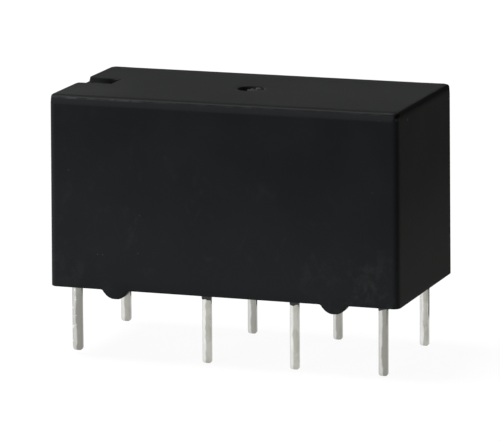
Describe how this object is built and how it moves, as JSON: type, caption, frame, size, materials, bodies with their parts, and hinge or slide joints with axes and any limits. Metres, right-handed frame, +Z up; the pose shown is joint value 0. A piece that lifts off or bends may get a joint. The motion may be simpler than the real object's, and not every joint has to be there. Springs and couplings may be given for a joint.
{
  "type": "general purpose relay",
  "caption": "Sealed board-mount relay: rectangular black moulded cover with an index notch, rows of flat tinned pins, and inside a coil, hinged armature and changeover contact springs.",
  "frame": {"origin": "centre of the terminal pattern, in the plane of the board that the standoffs rest on", "axes": "+X along the terminal rows, from the coil end with the index notch to the contact end; +Y across the rows; +Z up, out of the board"},
  "size_m": [0.0201, 0.01, 0.0148],
  "materials": {
    "cover_plastic": "fine satin moulded black",
    "base_plastic": "moulded black",
    "sealing_resin": "poured glossy black epoxy",
    "bobbin_plastic": "moulded ivory",
    "card_plastic": "moulded cream",
    "copper_wire": "enamelled copper wire",
    "plated_iron": "nickel-plated soft iron",
    "spring_bronze": "rolled spring bronze",
    "tinned_strip": "tin-plated stamped strip",
    "contact_silver": "silver alloy"
  },
  "bodies": {
    "housing": {"cover": "cover_plastic", "base": "base_plastic", "seal_resin": "sealing_resin", "bobbin": "bobbin_plastic", "winding": "copper_wire", "core": "plated_iron", "yoke": "plated_iron", "hinge_spring": "spring_bronze", "coil_terminal_front": "tinned_strip", "coil_terminal_back": "tinned_strip", "coil_lead_front": "copper_wire", "coil_lead_back": "copper_wire", "common_terminal_front": "tinned_strip", "common_terminal_back": "tinned_strip", "closed_terminal_front": "tinned_strip", "closed_terminal_back": "tinned_strip", "open_terminal_front": "tinned_strip", "open_terminal_back": "tinned_strip", "closed_contact_front": "contact_silver", "closed_contact_back": "contact_silver", "open_contact_front": "contact_silver", "open_contact_back": "contact_silver"},
    "armature_assembly": {"armature": "plated_iron", "card": "card_plastic"},
    "front_spring": {"moving_spring_front": "spring_bronze", "moving_contact_front": "contact_silver"},
    "back_spring": {"moving_spring_back": "spring_bronze", "moving_contact_back": "contact_silver"}
  },
  "joints": [
    {"name": "armature_tilt", "type": "hinge", "parent": "housing", "child": "armature_assembly", "pos_m": [-0.00149, 0, 0.0091], "axis": [0, -1, 0], "range_deg": [0, 2.87], "stiffness_Nm_per_rad": 0.0015, "springref_deg": -11.46},
    {"name": "front_spring_flex", "type": "hinge", "parent": "housing", "child": "front_spring", "pos_m": [-0.00172, -0.00301, 0.00562], "axis": [0, -1, 0], "range_deg": [0, 2.71]},
    {"name": "back_spring_flex", "type": "hinge", "parent": "housing", "child": "back_spring", "pos_m": [-0.00172, 0.00301, 0.00562], "axis": [0, -1, 0], "range_deg": [0, 2.71]}
  ],
  "couplings": [
    {"joint": "front_spring_flex", "follows": "armature_tilt", "ratio": 0.9427},
    {"joint": "back_spring_flex", "follows": "armature_tilt", "ratio": 0.9427}
  ]
}
